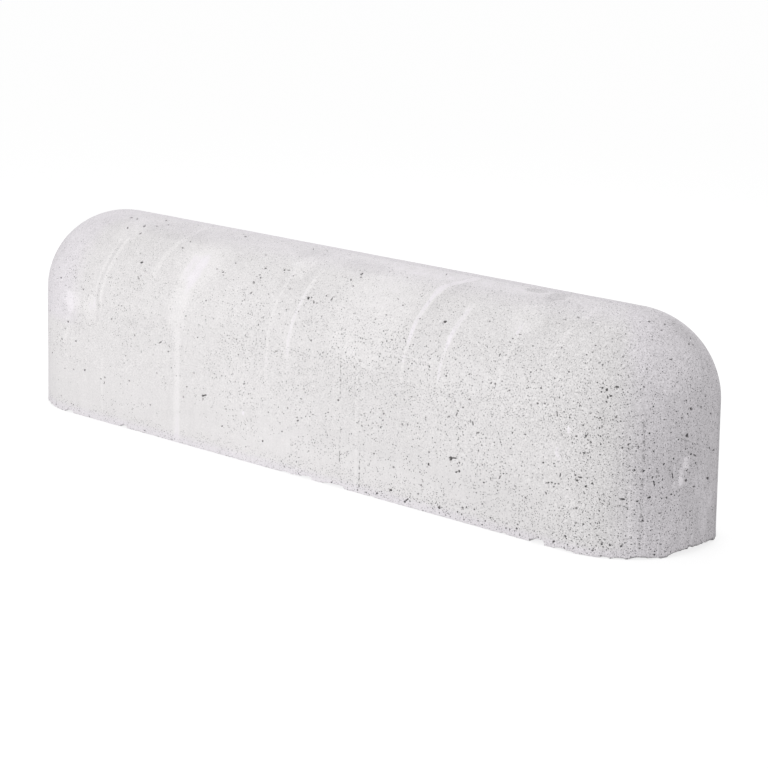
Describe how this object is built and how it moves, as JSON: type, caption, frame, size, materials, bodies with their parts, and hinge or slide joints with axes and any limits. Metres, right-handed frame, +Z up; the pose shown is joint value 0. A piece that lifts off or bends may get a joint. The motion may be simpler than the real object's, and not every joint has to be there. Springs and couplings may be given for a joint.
{
  "type": "concrete kerb stone",
  "caption": "Free-standing precast concrete kerb block with a half-round crown and full-round ends, set down along parking bays and road edges to stop wheels.",
  "frame": {"origin": "centre of the flat base, midway along and across the block", "axes": "+X along the block, +Y across it with the front wall facing -Y, +Z up from the base to the crown"},
  "size_m": [0.9999, 0.21, 0.25],
  "materials": {
    "concrete": "matte"
  },
  "bodies": {
    "root": {"kerb_block": "concrete"}
  },
  "joints": []
}
